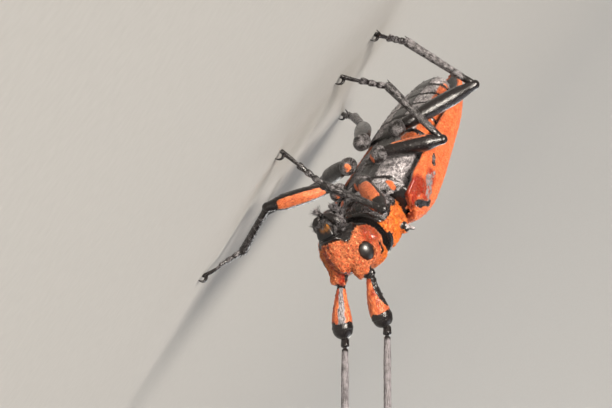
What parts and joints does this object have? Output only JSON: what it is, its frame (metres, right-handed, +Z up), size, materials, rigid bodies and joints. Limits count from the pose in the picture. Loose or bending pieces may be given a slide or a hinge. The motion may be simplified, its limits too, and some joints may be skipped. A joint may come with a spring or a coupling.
{
  "type": "red spotted longicorn beetle",
  "caption": "Life-size still model of a red and black longhorn beetle with a flat face, long feelers and spotted wing cases, standing tall and leaning on its legs.",
  "frame": {"origin": "middle of the bounding box, on the floor under the feet", "axes": "+Z up from the floor, head towards -Y, the animal's left side towards +X; the body leans to its left"},
  "size_m": [0.0256, 0.0406, 0.0331],
  "materials": {
    "velvet_red": "short velvety red pile lying flat on the shell",
    "shell_black": "glossy black shell with fine grey pile",
    "eye_black": "polished black compound eye",
    "scape_red": "orange-red pile over granular black shell",
    "mouth_amber": "glossy brown lip plate"
  },
  "bodies": {
    "root": {"head": "velvet_red", "eye_right": "eye_black", "eye_left": "eye_black", "labrum": "mouth_amber", "mandible_right": "shell_black", "mandible_left": "shell_black", "palp_right": "shell_black", "palp_left": "shell_black", "pronotum": "velvet_red", "scutellum": "velvet_red", "elytron_right": "velvet_red", "elytron_left": "velvet_red", "pterothorax": "shell_black", "abdomen": "shell_black", "fore_right_coxa": "shell_black", "fore_right_femur": "shell_black", "fore_right_tibia": "shell_black", "fore_right_tarsus": "shell_black", "mid_right_coxa": "shell_black", "mid_right_femur": "shell_black", "mid_right_tibia": "shell_black", "mid_right_tarsus": "shell_black", "hind_right_coxa": "shell_black", "hind_right_femur": "shell_black", "hind_right_tibia": "shell_black", "hind_right_tarsus": "shell_black", "fore_left_coxa": "shell_black", "fore_left_femur": "shell_black", "fore_left_tibia": "shell_black", "fore_left_tarsus": "shell_black", "mid_left_coxa": "shell_black", "mid_left_femur": "shell_black", "mid_left_tibia": "shell_black", "mid_left_tarsus": "shell_black", "hind_left_coxa": "shell_black", "hind_left_femur": "shell_black", "hind_left_tibia": "shell_black", "hind_left_tarsus": "shell_black", "feeler_right_scape": "scape_red", "feeler_right_pedicel": "shell_black", "feeler_right_third": "shell_black", "feeler_right_fourth": "shell_black", "feeler_right_middle": "shell_black", "feeler_right_outer": "shell_black", "feeler_right_tip": "shell_black", "feeler_left_scape": "scape_red", "feeler_left_pedicel": "shell_black", "feeler_left_third": "shell_black", "feeler_left_fourth": "shell_black", "feeler_left_middle": "shell_black", "feeler_left_outer": "shell_black", "feeler_left_tip": "shell_black"}
  },
  "joints": []
}
